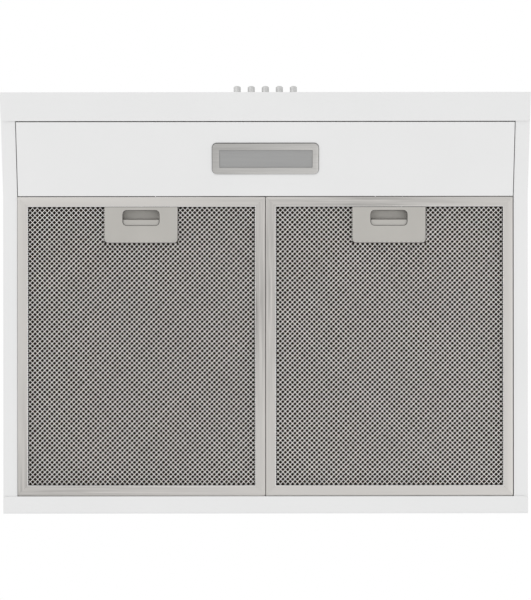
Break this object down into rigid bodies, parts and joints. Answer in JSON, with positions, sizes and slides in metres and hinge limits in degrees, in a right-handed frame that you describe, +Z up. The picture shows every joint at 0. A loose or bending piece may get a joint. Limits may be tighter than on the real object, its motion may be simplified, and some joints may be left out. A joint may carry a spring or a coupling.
{
  "type": "under cabinet range hood",
  "caption": "Shallow kitchen extractor hood that hangs under a wall cabinet, with swing-down grease filters, a lamp, push buttons, a fan and a round outlet with damper flaps.",
  "frame": {"origin": "middle of the four cabinet keyholes, on the upper face of the top panel", "axes": "+Z up towards the cabinet, +Y back towards the wall, -Y the front with the buttons, +X to the right seen from the front"},
  "size_m": [0.598, 0.4878, 0.1892],
  "materials": {
    "white_paint": "white powder coat on sheet steel, semi-gloss",
    "brushed_steel": "fine brushed along the length",
    "aluminium_frame": "mill-finish strip, streaked along each bar",
    "aluminium_mesh": "expanded foil mesh in layers",
    "grey_plastic": "warm grey, fine moulded texture",
    "chrome": "satin chrome",
    "lens": "frosted diffuser",
    "black_plastic": "moulded, matte",
    "white_plastic": "moulded, matte",
    "galvanised": "zinc coated sheet",
    "steel": "bright zinc plated",
    "circuit_board": "white solder mask",
    "grey_cable": "soft sheath",
    "rubber": "matte"
  },
  "bodies": {
    "hood_body": {"back_panel": "white_paint", "cable_grommet": "rubber", "capacitor_clip": "galvanised", "damper_pin": "steel", "fan_housing": "black_plastic", "fan_housing_cover": "galvanised", "fan_screw_1": "steel", "fan_screw_2": "steel", "fan_screw_3": "steel", "fan_screw_4": "steel", "filter_catch_left": "steel", "filter_catch_right": "steel", "filter_centre_rail": "white_paint", "inlet_guard": "black_plastic", "lamp_bezel": "brushed_steel", "lamp_housing": "white_plastic", "lamp_led_board": "circuit_board", "lamp_lens": "lens", "lead_driver": "grey_cable", "lead_lamp": "grey_cable", "lead_motor": "grey_cable", "lead_switch": "grey_cable", "led_driver": "white_plastic", "light_panel": "white_paint", "motor": "galvanised", "motor_capacitor": "white_plastic", "motor_grommet_1": "rubber", "motor_grommet_2": "rubber", "motor_grommet_3": "rubber", "motor_plate": "galvanised", "outlet_collar": "black_plastic", "side_panel_left": "white_paint", "side_panel_right": "white_paint", "switch_block": "black_plastic", "switch_bracket": "galvanised", "terminal_block": "white_plastic", "terminal_box": "black_plastic", "terminal_box_cover": "black_plastic", "terminal_cover_screw": "steel", "top_front_panel": "white_paint"},
    "button_lamp": {"button_lamp": "chrome"},
    "button_stop": {"button_stop": "chrome"},
    "button_speed_1": {"button_speed_1": "chrome"},
    "button_speed_2": {"button_speed_2": "chrome"},
    "button_speed_3": {"button_speed_3": "chrome"},
    "fan_wheel": {"impeller": "black_plastic", "motor_shaft": "steel", "impeller_nut": "steel"},
    "damper_front": {"damper_flap_front": "galvanised"},
    "damper_rear": {"damper_flap_rear": "galvanised"},
    "filter_left": {"filter_frame_left": "aluminium_frame", "filter_mesh_left": "aluminium_mesh", "filter_handle_left": "grey_plastic", "latch_spring_left": "steel"},
    "filter_right": {"filter_frame_right": "aluminium_frame", "filter_mesh_right": "aluminium_mesh", "filter_handle_right": "grey_plastic", "latch_spring_right": "steel"},
    "latch_left": {"latch_slider_left": "grey_plastic"},
    "latch_right": {"latch_slider_right": "grey_plastic"}
  },
  "joints": [
    {"name": "button_lamp_press", "type": "slide", "parent": "hood_body", "child": "button_lamp", "axis": [0, 1, 0], "range_m": [0, 0.004], "stiffness_N_per_m": 300, "springref_m": -0.002},
    {"name": "button_stop_press", "type": "slide", "parent": "hood_body", "child": "button_stop", "axis": [0, 1, 0], "range_m": [0, 0.004], "stiffness_N_per_m": 300, "springref_m": -0.002},
    {"name": "button_speed_1_press", "type": "slide", "parent": "hood_body", "child": "button_speed_1", "axis": [0, 1, 0], "range_m": [0, 0.004], "stiffness_N_per_m": 300, "springref_m": -0.002},
    {"name": "button_speed_2_press", "type": "slide", "parent": "hood_body", "child": "button_speed_2", "axis": [0, 1, 0], "range_m": [0, 0.004], "stiffness_N_per_m": 300, "springref_m": -0.002},
    {"name": "button_speed_3_press", "type": "slide", "parent": "hood_body", "child": "button_speed_3", "axis": [0, 1, 0], "range_m": [0, 0.004], "stiffness_N_per_m": 300, "springref_m": -0.002},
    {"name": "fan_spin", "type": "hinge", "parent": "hood_body", "child": "fan_wheel", "pos_m": [-0.045, -0.03, -0.0665], "axis": [0, 0, 1], "continuous": true},
    {"name": "damper_front_swing", "type": "hinge", "parent": "hood_body", "child": "damper_front", "pos_m": [0, 0.077, 0.0105], "axis": [-1, 0, 0], "range_deg": [0, 75]},
    {"name": "damper_rear_swing", "type": "hinge", "parent": "hood_body", "child": "damper_rear", "pos_m": [0, 0.077, 0.0105], "axis": [1, 0, 0], "range_deg": [0, 75]},
    {"name": "filter_left_swing", "type": "hinge", "parent": "hood_body", "child": "filter_left", "pos_m": [-0.14125, 0.1451, -0.125], "axis": [1, 0, 0], "range_deg": [0, 75], "deforming": ["filter_catch_left"]},
    {"name": "filter_right_swing", "type": "hinge", "parent": "hood_body", "child": "filter_right", "pos_m": [0.14125, 0.1451, -0.125], "axis": [1, 0, 0], "range_deg": [0, 75], "deforming": ["filter_catch_right"]},
    {"name": "latch_left_slide", "type": "slide", "parent": "filter_left", "child": "latch_left", "axis": [0, 1, 0], "range_m": [0, 0.004], "stiffness_N_per_m": 200, "springref_m": -0.004, "deforming": ["latch_spring_left"]},
    {"name": "latch_right_slide", "type": "slide", "parent": "filter_right", "child": "latch_right", "axis": [0, 1, 0], "range_m": [0, 0.004], "stiffness_N_per_m": 200, "springref_m": -0.004, "deforming": ["latch_spring_right"]}
  ]
}
